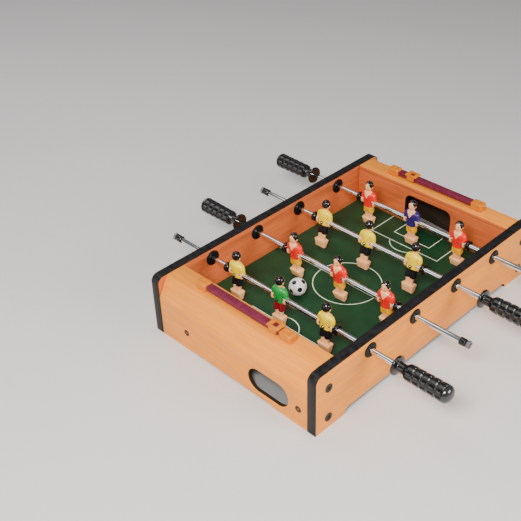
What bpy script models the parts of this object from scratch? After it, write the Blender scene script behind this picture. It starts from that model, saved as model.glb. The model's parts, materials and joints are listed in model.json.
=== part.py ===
"""Tabletop foosball table, modelled as the separate pieces it comes apart into.

Frame: +X runs along the two long side panels, from the first rod to the fourth,
+Y runs along the rods, from the front panel to the back one, and +Z is up. The
origin is on the table top that the feet stand on, below the middle of the pitch.
Every length is in metres.
"""

import math

import bmesh
import bpy
from mathutils import Matrix

# Cabinet
TABLE_LENGTH = 0.340
TABLE_WIDTH = 0.220
TABLE_HEIGHT = 0.068
GAP = 0.0003
PANEL_THICKNESS = 0.010
PANEL_CORNER_RADIUS = 0.008
PANEL_RELIEF_HALF_LENGTH = 0.1305
PANEL_RELIEF_HEIGHT = 0.0065
BAND_THICKNESS = 0.0008

# End boxes
GOAL_WALL_FACE = 0.1355
GOAL_WALL_THICKNESS = 0.005
GOAL_WALL_BOTTOM = 0.004
GOAL_HALF_WIDTH = 0.031
GOAL_TOP = 0.057
GOAL_CORNER_RADIUS = 0.008
COVER_THICKNESS = 0.004
COVER_BEVEL_TOP_X = 0.158
COVER_BEVEL_BOTTOM_Z = 0.046
COVER_RELIEF_HALF_WIDTH = 0.056
COVER_RELIEF_HEIGHT = 0.0015
OUTLET_CENTRE_Y = -0.051
OUTLET_CENTRE_Z = 0.0215
OUTLET_LENGTH = 0.0515
OUTLET_HEIGHT = 0.026
TRAY_THICKNESS = 0.003
TRAY_LOW_Z = 0.0080
TRAY_FAR_Z = 0.0170
TRAY_NEAR_Z = 0.0110

# Pitch
PITCH_TOP = 0.021
PITCH_THICKNESS = 0.003

# Rods, with their bushes and rings
ROD_PITCH = 0.065
ROD_HEIGHT = 0.0565
ROD_RADIUS = 0.00275
ROD_WALL = 0.0006
RUNNING_CLEARANCE = 0.0003
ROD_HANDLE_END = 0.188
ROD_BARE_END = 0.1520
BUSH_BARREL_RADIUS = 0.0048
BUSH_INNER_FLANGE_RADIUS = 0.0083
BUSH_OUTER_FLANGE_RADIUS = 0.0078
BUSH_FLANGE_THICKNESS = 0.0013
BUSH_RIM = 0.0005
RING_CENTRE = 0.073
RING_RADIUS = 0.0053
RING_THICKNESS = 0.0036
CAP_START = 0.1450
CAP_COLLAR_END = 0.1508
CAP_END = 0.1556
CAP_COLLAR_RADIUS = 0.0038
CAP_WAIST_RADIUS = 0.0035
CAP_TIP_RADIUS = 0.0040

# Handles, along the rod outwards from the flange
HANDLE_START = 0.1425
HANDLE_LENGTH = 0.059
FLANGE_RADIUS = 0.0097
FLANGE_THICKNESS = 0.0025
NECK_RADIUS = 0.0050
NECK_LENGTH = 0.0105
SHOULDER_LENGTH = 0.0025
GRIP_RADIUS_AT_NECK = 0.0080
GRIP_RADIUS_AT_TIP = 0.0088
GROOVE_COUNT = 4
GROOVE_DEPTH = 0.0008
GROOVE_WIDTH = 0.0012
TIP_DOME_LENGTH = 0.0060

# Players, measured from the rod's axis
PLAYER_PITCH = 0.060
HEAD_TOP = 0.0254
FOOT_BOTTOM = -0.0313
HEAD_RADIUS = 0.0048
HEAD_STRETCH = 1.35
HAND_HALF_WIDTH = 0.0096
FOOT_HALF_WIDTH = 0.0071

# How far each rod is pushed along +Y, and how far its players' feet swing forward
ROD_SLIDES = (0.0030, -0.0160, 0.0021, -0.0070)
ROD_FOOT_SWINGS = (2.5, -1.5, -5.5, 2.0)

# Scorers, on the tops of the end covers
SCORER_X = 0.1472
SCORER_BLOCK_LENGTH = 0.014
SCORER_BLOCK_WIDTH = 0.0105
SCORER_BLOCK_HEIGHT = 0.0085
SCORER_BLOCK_Y = 0.056
SCORER_BLOCK_BEVEL = 0.0008
SCORER_DIMPLE_RADIUS = 0.0018
SCORER_DIMPLE_DEPTH = 0.0006
SCORER_BAR_WIDTH = 0.008
SCORER_BAR_BOTTOM = 0.0706
SCORER_BAR_TOP = 0.0750
SLIDER_LENGTH = 0.0145
SLIDER_SKIRT_LENGTH = 0.0095
SLIDER_WIDTH = 0.0112
SLIDER_PLATE_THICKNESS = 0.0018
SLIDER_SKIRT_BOTTOM = 0.0706
SLIDER_WINDOW = 0.0060
SLIDER_REST_Y = (-0.0412, 0.0312)

# Ball
BALL_RADIUS = 0.0095
BALL_X = -0.0493
BALL_Y = 0.0248

ROUND_STEPS = 16
CORNER_STEPS = 5
MERGE_DISTANCE = 0.00001
CUT_PAST = 0.005
SHARP_ANGLE = math.radians(35)
QUARTER_TURN = math.pi / 2

HALF_LENGTH = TABLE_LENGTH / 2
HALF_WIDTH = TABLE_WIDTH / 2
INNER_HALF_WIDTH = HALF_WIDTH - PANEL_THICKNESS
BORE_RADIUS = ROD_RADIUS + RUNNING_CLEARANCE
ROD_XS = tuple((index - 1.5) * ROD_PITCH for index in range(4))

# Turns that stand a flat outline up, and that lay a turned piece along the rod
STAND_ALONG_X = (QUARTER_TURN, 0, 0)
STAND_ALONG_Y = (QUARTER_TURN, 0, QUARTER_TURN)
LIE_TOWARDS_FRONT = (QUARTER_TURN, 0, 0)
LIE_TOWARDS_BACK = (-QUARTER_TURN, 0, 0)


# Scene, collections and materials

def clear_scene():
    for obj in list(bpy.data.objects):
        bpy.data.objects.remove(obj, do_unlink=True)


def new_collection(name):
    collection = bpy.data.collections.new(name)
    bpy.context.scene.collection.children.link(collection)
    return collection


def new_material(name, colour, roughness, metallic=0.0):
    material = bpy.data.materials.new(name)
    material.use_nodes = True
    shader = material.node_tree.nodes["Principled BSDF"]
    shader.inputs["Base Color"].default_value = (*colour, 1.0)
    shader.inputs["Roughness"].default_value = roughness
    shader.inputs["Metallic"].default_value = metallic
    return material


clear_scene()
PARTS = new_collection("tabletop_foosball")
CUTTERS = new_collection("tabletop_foosball_cutters")
BEECH = new_material("beech_laminate", (0.80, 0.42, 0.15), 0.45)
EDGING = new_material("black_edging", (0.02, 0.02, 0.022), 0.40)
GREEN_BOARD = new_material("green_pitch", (0.03, 0.13, 0.06), 0.60)
GREY_BOARD = new_material("grey_tray", (0.10, 0.10, 0.10), 0.70)
BLACK_PLASTIC = new_material("black_plastic", (0.012, 0.012, 0.013), 0.25)
CHROME = new_material("chrome", (0.85, 0.85, 0.85), 0.12, 1.0)
AMBER = new_material("amber_plastic", (0.95, 0.36, 0.03), 0.35)
MAROON = new_material("maroon_plastic", (0.27, 0.05, 0.12), 0.40)
WHITE_PLASTIC = new_material("white_plastic", (0.85, 0.85, 0.85), 0.30)
YELLOW_SHIRT = new_material("yellow_shirt", (0.90, 0.58, 0.04), 0.35)
RED_SHIRT = new_material("red_shirt", (0.85, 0.06, 0.04), 0.35)
GREEN_SHIRT = new_material("green_shirt", (0.04, 0.33, 0.09), 0.35)
PURPLE_SHIRT = new_material("purple_shirt", (0.05, 0.03, 0.17), 0.35)


# Small tools

def add_object(name, data, material, location=(0, 0, 0), rotation=(0, 0, 0), parent=None):
    """An object in the parts collection, whose material belongs to it and not to its mesh."""
    obj = bpy.data.objects.new(name, data)
    PARTS.objects.link(obj)
    obj.location = location
    obj.rotation_euler = rotation
    obj.parent = parent
    if not data.materials:
        data.materials.append(None)
    obj.material_slots[0].link = "OBJECT"
    obj.material_slots[0].material = material
    return obj


def add_empty(name, location, rotation=(0, 0, 0), parent=None):
    empty = bpy.data.objects.new(name, None)
    PARTS.objects.link(empty)
    empty.location = location
    empty.rotation_euler = rotation
    empty.parent = parent
    empty.empty_display_size = 0.01
    return empty


def box_mesh(name, size, centre=(0, 0, 0)):
    mesh = bpy.data.meshes.new(name)
    shape = bmesh.new()
    bmesh.ops.create_cube(shape, size=1.0)
    bmesh.ops.scale(shape, vec=size, verts=shape.verts)
    bmesh.ops.translate(shape, vec=centre, verts=shape.verts)
    shape.to_mesh(mesh)
    shape.free()
    return mesh


def cylinder_mesh(name, radius, length, steps=ROUND_STEPS):
    """A cylinder along Z, centred on the origin."""
    mesh = bpy.data.meshes.new(name)
    shape = bmesh.new()
    bmesh.ops.create_cone(shape, cap_ends=True, segments=steps, radius1=radius, radius2=radius, depth=length)
    shape.to_mesh(mesh)
    shape.free()
    return mesh


def bevel(obj, width, segments=1):
    modifier = obj.modifiers.new("rounded_edges", "BEVEL")
    modifier.width = width
    modifier.segments = segments
    modifier.limit_method = "ANGLE"


def arc(centre, radius, start, end, steps=CORNER_STEPS):
    """Points on an arc, with its angles in degrees."""
    points = []
    for step in range(steps + 1):
        angle = math.radians(start + (end - start) * step / steps)
        points.append((centre[0] + radius * math.cos(angle), centre[1] + radius * math.sin(angle)))
    return points


def circle(centre, radius, steps=ROUND_STEPS):
    return arc(centre, radius, 0, 360, steps)[:-1]


def mirrored(points):
    """An outline's right half, from bottom to top, followed by its left half from top to bottom."""
    return points + [(-x, y) for x, y in reversed(points)]


def flat_outline(name, loops, thickness):
    """A flat piece in its own XY plane: the first loop is its edge, the others are holes."""
    curve = bpy.data.curves.new(name, "CURVE")
    curve.dimensions = "2D"
    curve.fill_mode = "BOTH"
    curve.extrude = thickness / 2
    for loop in loops:
        spline = curve.splines.new("POLY")
        spline.points.add(len(loop) - 1)
        for point, (x, y) in zip(spline.points, loop):
            point.co = (x, y, 0, 1)
        spline.use_cyclic_u = True
    return curve


def made_mesh(name, data, rotation=(0, 0, 0)):
    """A flat outline or a turned piece as a plain welded mesh, turned by the rotation."""
    source = bpy.data.objects.new(name, data)
    CUTTERS.objects.link(source)
    source.rotation_euler = rotation
    bpy.context.view_layer.update()
    evaluated = source.evaluated_get(bpy.context.evaluated_depsgraph_get())
    mesh = bpy.data.meshes.new_from_object(evaluated)
    mesh.transform(source.matrix_world)
    mesh.name = name
    bpy.data.objects.remove(source)
    shape = bmesh.new()
    shape.from_mesh(mesh)
    bmesh.ops.remove_doubles(shape, verts=shape.verts, dist=MERGE_DISTANCE)
    bmesh.ops.recalc_face_normals(shape, faces=shape.faces)
    shape.to_mesh(mesh)
    shape.free()
    return mesh


def add_tool(name, mesh):
    """A hidden solid that a Boolean cuts with or joins on."""
    tool = bpy.data.objects.new(name, mesh)
    CUTTERS.objects.link(tool)
    tool.hide_render = True
    tool.display_type = "WIRE"
    return tool


def combine(obj, tool, operation):
    modifier = obj.modifiers.new(tool.name, "BOOLEAN")
    modifier.solver = "EXACT"
    modifier.operation = operation
    modifier.object = tool


def combined_mesh(name, base, steps):
    """One mesh made from a base mesh and a list of (operation, mesh) steps."""
    body = bpy.data.objects.new(name, base)
    CUTTERS.objects.link(body)
    tools = []
    for index, (operation, mesh) in enumerate(steps):
        tool = add_tool(f"{name}_tool_{index}", mesh)
        combine(body, tool, operation)
        tools.append(tool)
    bpy.context.view_layer.update()
    evaluated = body.evaluated_get(bpy.context.evaluated_depsgraph_get())
    mesh = bpy.data.meshes.new_from_object(evaluated)
    mesh.name = name
    mesh.materials.clear()
    for used in [body, *tools]:
        bpy.data.objects.remove(used)
    return mesh


def turned_mesh(name, profile, closed=False, rotation=(0, 0, 0), steps=ROUND_STEPS):
    """A profile of (radius, height) points, top to bottom on its outer side, turned about Z."""
    mesh = bpy.data.meshes.new(name)
    edges = [(index, index + 1) for index in range(len(profile) - 1)]
    if closed:
        edges.append((len(profile) - 1, 0))
    mesh.from_pydata([(radius, 0, height) for radius, height in profile], edges, [])
    source = bpy.data.objects.new(name, mesh)
    CUTTERS.objects.link(source)
    screw = source.modifiers.new("turn", "SCREW")
    screw.steps = steps
    screw.render_steps = steps
    screw.use_merge_vertices = True
    screw.merge_threshold = MERGE_DISTANCE
    source.rotation_euler = rotation
    bpy.context.view_layer.update()
    evaluated = source.evaluated_get(bpy.context.evaluated_depsgraph_get())
    turned = bpy.data.meshes.new_from_object(evaluated)
    turned.transform(source.matrix_world)
    turned.name = name
    bpy.data.objects.remove(source)
    turned.shade_smooth()
    turned.set_sharp_from_angle(angle=SHARP_ANGLE)
    return turned


# Cabinet

def panel_outline(inset):
    """A side panel's edge, drawn in by an inset at its ends and top."""
    end = HALF_LENGTH - inset
    top = TABLE_HEIGHT - inset
    radius = PANEL_CORNER_RADIUS - inset
    relief_corner = (PANEL_RELIEF_HALF_LENGTH - PANEL_RELIEF_HEIGHT, 0)
    relief = arc(relief_corner, PANEL_RELIEF_HEIGHT, 90, 0)
    corner = arc((end - radius, top - radius), radius, 0, 90)
    return mirrored(relief + [(end, 0)] + corner)


def band_outline():
    """The edging that runs up one end of a panel, over its top and down the other end."""
    inside = HALF_LENGTH - BAND_THICKNESS
    inside_radius = PANEL_CORNER_RADIUS - BAND_THICKNESS
    centre = (HALF_LENGTH - PANEL_CORNER_RADIUS, TABLE_HEIGHT - PANEL_CORNER_RADIUS)
    outer = [(HALF_LENGTH, GAP)] + arc(centre, PANEL_CORNER_RADIUS, 0, 90)
    inner = [(inside, GAP)] + arc(centre, inside_radius, 0, 90)
    right_outer_to_left = outer + [(-x, z) for x, z in reversed(outer)]
    left_inner_to_right = [(-x, z) for x, z in inner] + list(reversed(inner))
    return right_outer_to_left + left_inner_to_right


def build_side_panels():
    holes = [circle((x, ROD_HEIGHT), BUSH_BARREL_RADIUS + GAP) for x in ROD_XS]
    panel = flat_outline("side_panel", [panel_outline(BAND_THICKNESS + GAP), *holes], PANEL_THICKNESS)
    band = flat_outline("edge_band", [band_outline()], PANEL_THICKNESS)
    middle = HALF_WIDTH - PANEL_THICKNESS / 2
    for side, y in (("front", -middle), ("back", middle)):
        add_object(f"side_panel_{side}", panel, BEECH, (0, y, 0), STAND_ALONG_X)
        add_object(f"edge_band_{side}", band, EDGING, (0, y, 0), STAND_ALONG_X)


def outlet_outline(centre_y):
    """The oblong ball outlet, with round ends."""
    radius = OUTLET_HEIGHT / 2
    reach = OUTLET_LENGTH / 2 - radius
    right = arc((centre_y + reach, OUTLET_CENTRE_Z), radius, -90, 90, 2 * CORNER_STEPS)
    left = arc((centre_y - reach, OUTLET_CENTRE_Z), radius, 90, 270, 2 * CORNER_STEPS)
    return right + left


def end_cover_mesh(outlet_y):
    """A cover at the -X end: top board, sloping bevel and outer face, folded from one sheet."""
    outer_x = HALF_LENGTH - GAP
    outer_top = TABLE_HEIGHT - GAP
    slope = math.atan2(outer_x - COVER_BEVEL_TOP_X, outer_top - COVER_BEVEL_BOTTOM_Z)
    upper_fold = COVER_THICKNESS * math.tan((QUARTER_TURN - slope) / 2)
    lower_fold = COVER_THICKNESS * math.tan(slope / 2)
    profile = [
        (-GOAL_WALL_FACE, outer_top),
        (-COVER_BEVEL_TOP_X, outer_top),
        (-outer_x, COVER_BEVEL_BOTTOM_Z),
        (-outer_x, 0),
        (-outer_x + COVER_THICKNESS, 0),
        (-outer_x + COVER_THICKNESS, COVER_BEVEL_BOTTOM_Z - lower_fold),
        (-COVER_BEVEL_TOP_X + upper_fold, outer_top - COVER_THICKNESS),
        (-GOAL_WALL_FACE, outer_top - COVER_THICKNESS),
    ]
    width = 2 * (INNER_HALF_WIDTH - GAP)
    sheet = made_mesh("end_cover", flat_outline("end_cover", [profile], width), STAND_ALONG_X)
    outlet_depth = TABLE_LENGTH + 2 * CUT_PAST
    outlet_flat = flat_outline("outlet", [outlet_outline(outlet_y)], outlet_depth)
    outlet = made_mesh("outlet", outlet_flat, STAND_ALONG_Y)
    relief_size = (4 * COVER_THICKNESS, 2 * COVER_RELIEF_HALF_WIDTH, 2 * COVER_RELIEF_HEIGHT)
    relief = box_mesh("cover_relief", relief_size, (-HALF_LENGTH, 0, 0))
    return combined_mesh("end_cover", sheet, [("DIFFERENCE", outlet), ("DIFFERENCE", relief)])


def goal_outline():
    corner = (GOAL_HALF_WIDTH - GOAL_CORNER_RADIUS, GOAL_TOP - GOAL_CORNER_RADIUS)
    right = [(GOAL_HALF_WIDTH, PITCH_TOP - GAP)] + arc(corner, GOAL_CORNER_RADIUS, 0, 90)
    return mirrored(right)


def goal_wall_curve():
    half_width = INNER_HALF_WIDTH - GAP
    top = TABLE_HEIGHT - COVER_THICKNESS - 2 * GAP
    board = mirrored([(half_width, GOAL_WALL_BOTTOM), (half_width, top)])
    return flat_outline("goal_wall", [board, goal_outline()], GOAL_WALL_THICKNESS)


def tray_curve():
    """The tray's side view: it falls from both panels to a level stretch behind the outlet."""
    half_width = INNER_HALF_WIDTH - GAP
    level = (OUTLET_CENTRE_Y - OUTLET_LENGTH / 2, OUTLET_CENTRE_Y + OUTLET_LENGTH / 2)
    top = [
        (-half_width, TRAY_NEAR_Z),
        (level[0], TRAY_LOW_Z),
        (level[1], TRAY_LOW_Z),
        (half_width, TRAY_FAR_Z),
    ]
    bottom = [(y, z - TRAY_THICKNESS) for y, z in reversed(top)]
    inner_x = GOAL_WALL_FACE + GOAL_WALL_THICKNESS + GAP
    outer_x = HALF_LENGTH - COVER_THICKNESS - 2 * GAP
    curve = flat_outline("ball_tray", [top + bottom], outer_x - inner_x)
    return curve, (inner_x + outer_x) / 2


def build_ends():
    """Both ends: the right one mirrors the left one, so both outlets are near the front."""
    wall = goal_wall_curve()
    tray, tray_x = tray_curve()
    wall_x = GOAL_WALL_FACE + GOAL_WALL_THICKNESS / 2
    for side, direction, turn in (("left", -1, 0), ("right", 1, math.pi)):
        cover = end_cover_mesh(-direction * OUTLET_CENTRE_Y)
        add_object(f"end_cover_{side}", cover, BEECH, rotation=(0, 0, turn))
        add_object(f"goal_wall_{side}", wall, BEECH, (direction * wall_x, 0, 0), STAND_ALONG_Y)
        add_object(f"ball_tray_{side}", tray, GREY_BOARD, (direction * tray_x, 0, 0), STAND_ALONG_Y)


def build_pitch():
    size = (2 * (GOAL_WALL_FACE - GAP), 2 * (INNER_HALF_WIDTH - GAP), PITCH_THICKNESS)
    board = box_mesh("pitch_board", size)
    add_object("pitch_board", board, GREEN_BOARD, (0, 0, PITCH_TOP - PITCH_THICKNESS / 2))


# Rods and what they carry

def bush_mesh():
    """A rod bush, lying along Z with its inner flange at the bottom and its outer one at the top."""
    inner_face = -GAP
    outer_face = PANEL_THICKNESS + GAP
    bottom = inner_face - BUSH_FLANGE_THICKNESS
    top = outer_face + BUSH_FLANGE_THICKNESS
    profile = [
        (BORE_RADIUS, top),
        (BUSH_OUTER_FLANGE_RADIUS - BUSH_RIM, top),
        (BUSH_OUTER_FLANGE_RADIUS, top - BUSH_RIM),
        (BUSH_OUTER_FLANGE_RADIUS, outer_face),
        (BUSH_BARREL_RADIUS, outer_face),
        (BUSH_BARREL_RADIUS, inner_face),
        (BUSH_INNER_FLANGE_RADIUS, inner_face),
        (BUSH_INNER_FLANGE_RADIUS, bottom + BUSH_RIM),
        (BUSH_INNER_FLANGE_RADIUS - BUSH_RIM, bottom),
        (BORE_RADIUS, bottom),
    ]
    return turned_mesh("rod_bush", profile, closed=True)


def build_bushes():
    mesh = bush_mesh()
    for index, x in enumerate(ROD_XS):
        for side, direction, turn in (("front", -1, LIE_TOWARDS_FRONT), ("back", 1, LIE_TOWARDS_BACK)):
            place = (x, direction * INNER_HALF_WIDTH, ROD_HEIGHT)
            add_object(f"rod{index + 1}_bush_{side}", mesh, BLACK_PLASTIC, place, turn)


def tube_mesh():
    """The chrome tube, along Y: its handle end is at -Y and its bare end at +Y."""
    inner = ROD_RADIUS - ROD_WALL
    profile = [
        (ROD_RADIUS, ROD_BARE_END),
        (ROD_RADIUS, -ROD_HANDLE_END),
        (inner, -ROD_HANDLE_END),
        (inner, ROD_BARE_END),
    ]
    return turned_mesh("rod_tube", profile, closed=True, rotation=LIE_TOWARDS_BACK)


def ring_mesh():
    half = RING_THICKNESS / 2
    edge = BUSH_RIM
    profile = [
        (BORE_RADIUS, half),
        (RING_RADIUS - edge, half),
        (RING_RADIUS, half - edge),
        (RING_RADIUS, edge - half),
        (RING_RADIUS - edge, -half),
        (BORE_RADIUS, -half),
    ]
    return turned_mesh("bumper_ring", profile, closed=True, rotation=LIE_TOWARDS_BACK)


def cap_mesh():
    """The plug on a rod's bare end: a collar over the tube, a waist and a wider tip."""
    rim = BUSH_RIM
    tip_start = (CAP_COLLAR_END + CAP_END) / 2
    profile = [
        (0, CAP_END),
        (CAP_TIP_RADIUS - rim, CAP_END),
        (CAP_TIP_RADIUS, CAP_END - rim),
        (CAP_TIP_RADIUS, tip_start),
        (CAP_WAIST_RADIUS, tip_start - rim),
        (CAP_WAIST_RADIUS, CAP_COLLAR_END),
        (CAP_COLLAR_RADIUS, CAP_COLLAR_END - rim),
        (CAP_COLLAR_RADIUS, CAP_START),
        (BORE_RADIUS, CAP_START),
        (BORE_RADIUS, ROD_BARE_END + GAP),
        (0, ROD_BARE_END + GAP),
    ]
    return turned_mesh("rod_end_cap", profile, rotation=LIE_TOWARDS_BACK)


def handle_radius(distance):
    """The grip's outer radius at a distance along the handle from its flange."""
    grip_start = FLANGE_THICKNESS + NECK_LENGTH
    share = (distance - grip_start) / (HANDLE_LENGTH - grip_start)
    return GRIP_RADIUS_AT_NECK + share * (GRIP_RADIUS_AT_TIP - GRIP_RADIUS_AT_NECK)


def handle_mesh():
    """The handle, along -Y: a flange, a slim neck and a grip with ring grooves and a domed tip."""
    grip_start = FLANGE_THICKNESS + NECK_LENGTH
    dome_start = HANDLE_LENGTH - TIP_DOME_LENGTH
    outer = [
        (BORE_RADIUS, 0),
        (FLANGE_RADIUS, 0),
        (FLANGE_RADIUS, FLANGE_THICKNESS - BUSH_RIM),
        (FLANGE_RADIUS - BUSH_RIM, FLANGE_THICKNESS),
        (NECK_RADIUS, FLANGE_THICKNESS + BUSH_RIM),
        (NECK_RADIUS, grip_start - SHOULDER_LENGTH),
        (handle_radius(grip_start), grip_start),
    ]
    spacing = (dome_start - grip_start) / (GROOVE_COUNT + 1)
    for groove in range(1, GROOVE_COUNT + 1):
        middle = grip_start + groove * spacing
        radius = handle_radius(middle)
        half = GROOVE_WIDTH / 2
        outer += [(radius, middle - half), (radius - GROOVE_DEPTH, middle), (radius, middle + half)]
    tip_radius = handle_radius(dome_start)
    for radius, height in arc((0, 0), 1.0, 0, 90, 4):
        outer.append((radius * tip_radius, dome_start + height * TIP_DOME_LENGTH))
    bore_end = ROD_HANDLE_END - HANDLE_START + GAP
    profile = [(0, outer[-1][1]), *reversed(outer[:-1]), (BORE_RADIUS, bore_end), (0, bore_end)]
    shifted = [(radius, distance + HANDLE_START) for radius, distance in profile]
    return turned_mesh("handle", shifted, rotation=LIE_TOWARDS_FRONT)


def front_outline():
    """A player's outline from the front, without the head, as (y, z)."""
    half = [
        (FOOT_HALF_WIDTH - 0.0006, FOOT_BOTTOM),
        (FOOT_HALF_WIDTH, -0.0225),
        (0.0046, -0.0217),
        (0.0048, -0.0144),
        (0.0064, -0.0142),
        (0.0062, -0.0060),
        (HAND_HALF_WIDTH - 0.0012, -0.0042),
        (HAND_HALF_WIDTH, -0.0010),
        (HAND_HALF_WIDTH - 0.0006, 0.0030),
        (0.0082, 0.0098),
        (0.0066, 0.0122),
        (0.0028, 0.0136),
        (0.0026, 0.0165),
    ]
    return mirrored(half)


def side_outline():
    """A player's outline from the side, without the head, as (x, z), with the front at +X."""
    front = [
        (0.0024, FOOT_BOTTOM),
        (0.0044, -0.0225),
        (0.0030, -0.0212),
        (0.0034, -0.0140),
        (0.0042, -0.0075),
        (0.0046, 0.0000),
        (0.0046, 0.0080),
        (0.0028, 0.0128),
        (0.0024, 0.0165),
    ]
    back = [(-x - 0.0002, z) for x, z in reversed(front)]
    return front + back


def player_mesh():
    """One player about the rod's axis, facing +X: the front outline crossed with the side one."""
    depth = 4 * HAND_HALF_WIDTH
    front = made_mesh("player_front", flat_outline("player_front", [front_outline()], depth), STAND_ALONG_Y)
    side = made_mesh("player_side", flat_outline("player_side", [side_outline()], depth), STAND_ALONG_X)
    head = bpy.data.meshes.new("player_head")
    shape = bmesh.new()
    bmesh.ops.create_uvsphere(shape, u_segments=10, v_segments=7, radius=HEAD_RADIUS)
    bmesh.ops.scale(shape, vec=(1, 1, HEAD_STRETCH), verts=shape.verts)
    bmesh.ops.translate(shape, vec=(0.0002, 0, HEAD_TOP - HEAD_RADIUS * HEAD_STRETCH), verts=shape.verts)
    shape.to_mesh(head)
    shape.free()
    bore = cylinder_mesh("player_bore", BORE_RADIUS, depth)
    bore.transform(Matrix.Rotation(QUARTER_TURN, 4, "X"))
    return combined_mesh("player", front, [("INTERSECT", side), ("UNION", head), ("DIFFERENCE", bore)])


def build_rods():
    tube = tube_mesh()
    ring = ring_mesh()
    cap = cap_mesh()
    handle = handle_mesh()
    player = player_mesh()
    shirts = (
        (YELLOW_SHIRT, GREEN_SHIRT, YELLOW_SHIRT),
        (RED_SHIRT, RED_SHIRT, RED_SHIRT),
        (YELLOW_SHIRT, YELLOW_SHIRT, YELLOW_SHIRT),
        (RED_SHIRT, PURPLE_SHIRT, RED_SHIRT),
    )
    for index, x in enumerate(ROD_XS):
        rod = f"rod{index + 1}"
        turned_round = index % 2 == 1
        facing = math.pi if turned_round else 0
        slide = add_empty(f"{rod}_slide_axis", (x, ROD_SLIDES[index], ROD_HEIGHT))
        swing = math.radians(-ROD_FOOT_SWINGS[index])
        spin = add_empty(f"{rod}_spin_axis", (0, 0, 0), (0, swing, facing), slide)
        add_object(f"{rod}_tube", tube, CHROME, parent=spin)
        add_object(f"{rod}_handle", handle, BLACK_PLASTIC, parent=spin)
        add_object(f"{rod}_end_cap", cap, BLACK_PLASTIC, parent=spin)
        for side, y in (("back", RING_CENTRE), ("front", -RING_CENTRE)):
            add_object(f"{rod}_bumper_{side}", ring, BLACK_PLASTIC, (0, y, 0), parent=slide)
        for place, shirt in zip(("back", "middle", "front"), shirts[index]):
            offset = {"back": PLAYER_PITCH, "middle": 0, "front": -PLAYER_PITCH}[place]
            local_y = -offset if turned_round else offset
            add_object(f"{rod}_player_{place}", player, shirt, (0, local_y, 0), parent=spin)


# Scorers and ball

def scorer_block_mesh():
    size = (SCORER_BLOCK_WIDTH, SCORER_BLOCK_LENGTH, SCORER_BLOCK_HEIGHT)
    block = bpy.data.objects.new("scorer_block", box_mesh("scorer_block", size))
    CUTTERS.objects.link(block)
    bevel(block, SCORER_BLOCK_BEVEL)
    dimple_length = SCORER_DIMPLE_DEPTH + CUT_PAST
    dimple_shape = cylinder_mesh("scorer_dimple", SCORER_DIMPLE_RADIUS, dimple_length, 12)
    dimple = add_tool("scorer_dimple", dimple_shape)
    dimple.location = (0, 0, SCORER_BLOCK_HEIGHT / 2 - SCORER_DIMPLE_DEPTH + dimple_length / 2)
    combine(block, dimple, "DIFFERENCE")
    bpy.context.view_layer.update()
    mesh = bpy.data.meshes.new_from_object(block.evaluated_get(bpy.context.evaluated_depsgraph_get()))
    bpy.data.objects.remove(block)
    bpy.data.objects.remove(dimple)
    return mesh


def slider_mesh():
    """A plate with a square window, and a skirt down each side of the bar."""
    plate_bottom = SCORER_BAR_TOP + 2 * GAP
    plate_middle = plate_bottom + SLIDER_PLATE_THICKNESS / 2
    plate_size = (SLIDER_WIDTH, SLIDER_LENGTH, SLIDER_PLATE_THICKNESS)
    plate = box_mesh("slider", plate_size, (0, 0, plate_middle))
    skirt_inner = SCORER_BAR_WIDTH / 2 + GAP
    skirt_outer = SLIDER_WIDTH / 2 - GAP
    skirt_size = (skirt_outer - skirt_inner, SLIDER_SKIRT_LENGTH, plate_middle - SLIDER_SKIRT_BOTTOM)
    skirt_x = (skirt_outer + skirt_inner) / 2
    skirt_z = (plate_middle + SLIDER_SKIRT_BOTTOM) / 2
    steps = []
    for x in (-skirt_x, skirt_x):
        steps.append(("UNION", box_mesh("slider_skirt", skirt_size, (x, 0, skirt_z))))
    window_size = (SLIDER_WINDOW, SLIDER_WINDOW, 4 * SLIDER_PLATE_THICKNESS)
    steps.append(("DIFFERENCE", box_mesh("slider_window", window_size, (0, 0, plate_middle))))
    return combined_mesh("slider", plate, steps)


def build_scorers():
    block = scorer_block_mesh()
    slider = slider_mesh()
    block_z = TABLE_HEIGHT + SCORER_BLOCK_HEIGHT / 2
    bar_length = 2 * (SCORER_BLOCK_Y - SCORER_BLOCK_LENGTH / 2 - GAP)
    bar = box_mesh("scorer_bar", (SCORER_BAR_WIDTH, bar_length, SCORER_BAR_TOP - SCORER_BAR_BOTTOM))
    bar_z = (SCORER_BAR_TOP + SCORER_BAR_BOTTOM) / 2
    for side, x, slider_y in (("left", -SCORER_X, SLIDER_REST_Y[0]), ("right", SCORER_X, SLIDER_REST_Y[1])):
        for place, y in (("front", -SCORER_BLOCK_Y), ("back", SCORER_BLOCK_Y)):
            add_object(f"scorer_block_{side}_{place}", block, AMBER, (x, y, block_z))
        add_object(f"scorer_bar_{side}", bar, MAROON, (x, 0, bar_z))
        add_object(f"scorer_slider_{side}", slider, AMBER, (x, slider_y, 0))


def build_ball():
    mesh = bpy.data.meshes.new("ball")
    shape = bmesh.new()
    bmesh.ops.create_uvsphere(shape, u_segments=20, v_segments=12, radius=BALL_RADIUS)
    shape.to_mesh(mesh)
    shape.free()
    mesh.shade_smooth()
    add_object("ball", mesh, WHITE_PLASTIC, (BALL_X, BALL_Y, PITCH_TOP + GAP + BALL_RADIUS))


build_side_panels()
build_ends()
build_pitch()
build_bushes()
build_rods()
build_scorers()
build_ball()
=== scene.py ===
"""Looks for a tabletop foosball table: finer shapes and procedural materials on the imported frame.

Lengths are in metres. Figures, handles and bushes are described in millimetres in their own
tables, and MM turns those into metres.
"""

import json
import math

import bmesh
import bpy
from mathutils import Matrix, Vector


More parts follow.
